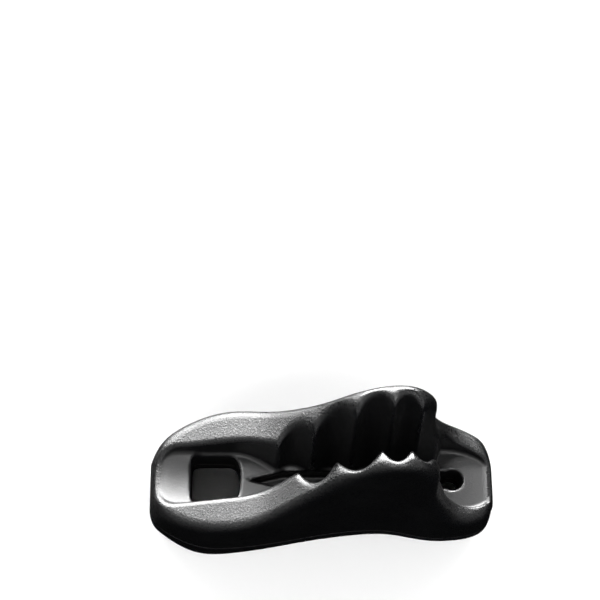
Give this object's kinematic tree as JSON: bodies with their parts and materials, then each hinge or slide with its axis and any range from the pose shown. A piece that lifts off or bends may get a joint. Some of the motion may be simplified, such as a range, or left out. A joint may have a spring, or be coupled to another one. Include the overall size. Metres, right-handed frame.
{
  "type": "rope cleat",
  "caption": "Moulded rope clam cleat: a V of fixed toothed jaws between two flared cheeks, a fairlead window at one end and a keyhole plate at the other.",
  "frame": {"origin": "centre of the footprint, on the plane of the back rims that the cleat lies on", "axes": "+X from the fairlead end to the knot end, +Y across the two cheeks, +Z from the back rims to the jaw tips, the way the mouth opens"},
  "size_m": [0.09, 0.033, 0.057],
  "materials": {
    "moulding": "fine spark-eroded grain, satin, near-black glass-filled nylon",
    "dowel": "ground"
  },
  "bodies": {
    "root": {"jaw_shell": "moulding", "back_shell": "moulding", "dowel_1": "dowel", "dowel_2": "dowel", "dowel_3": "dowel", "dowel_4": "dowel"}
  },
  "joints": []
}
